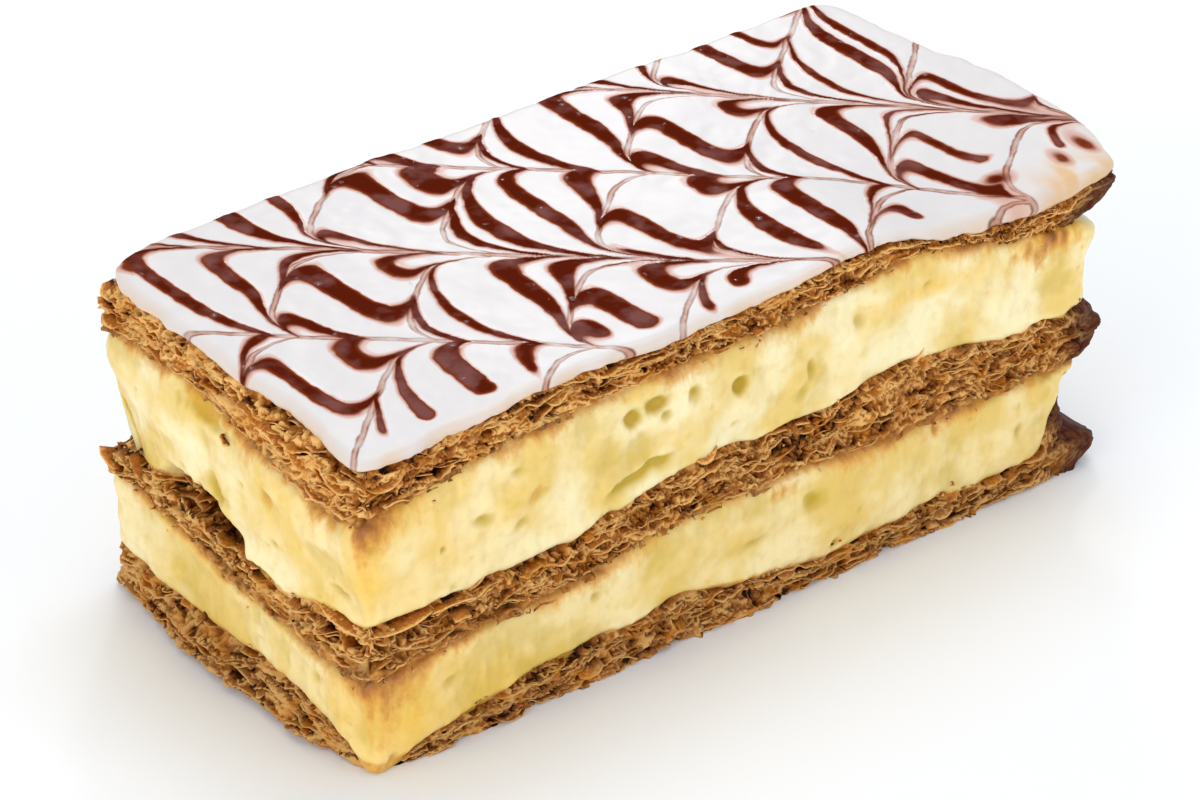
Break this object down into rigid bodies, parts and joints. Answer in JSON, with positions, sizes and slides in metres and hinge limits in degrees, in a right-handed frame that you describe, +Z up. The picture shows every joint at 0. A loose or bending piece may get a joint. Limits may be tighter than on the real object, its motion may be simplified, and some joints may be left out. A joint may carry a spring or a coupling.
{
  "type": "mille feuille slice",
  "caption": "Oblong slice of layered puff pastry and set custard, topped with white fondant icing feathered with chocolate; lies flat on its base.",
  "frame": {"origin": "centre of the bounding box's underside, on the surface the slice lies on", "axes": "+X along the slice to its baked end, +Y across it to the back, +Z up; the long cut side faces -Y and the short cut side -X"},
  "size_m": [0.1218, 0.0576, 0.0458],
  "materials": {
    "puff_pastry": "dry flaky baked pastry, matt, golden brown with darker gaps",
    "custard": "soft set custard, pale yellow, slightly moist",
    "fondant_icing": "set white fondant with feathered chocolate lines, smooth semi-gloss"
  },
  "bodies": {
    "root": {"pastry_bottom": "puff_pastry", "custard_lower": "custard", "pastry_middle": "puff_pastry", "custard_upper": "custard", "pastry_top": "puff_pastry", "icing": "fondant_icing"}
  },
  "joints": []
}
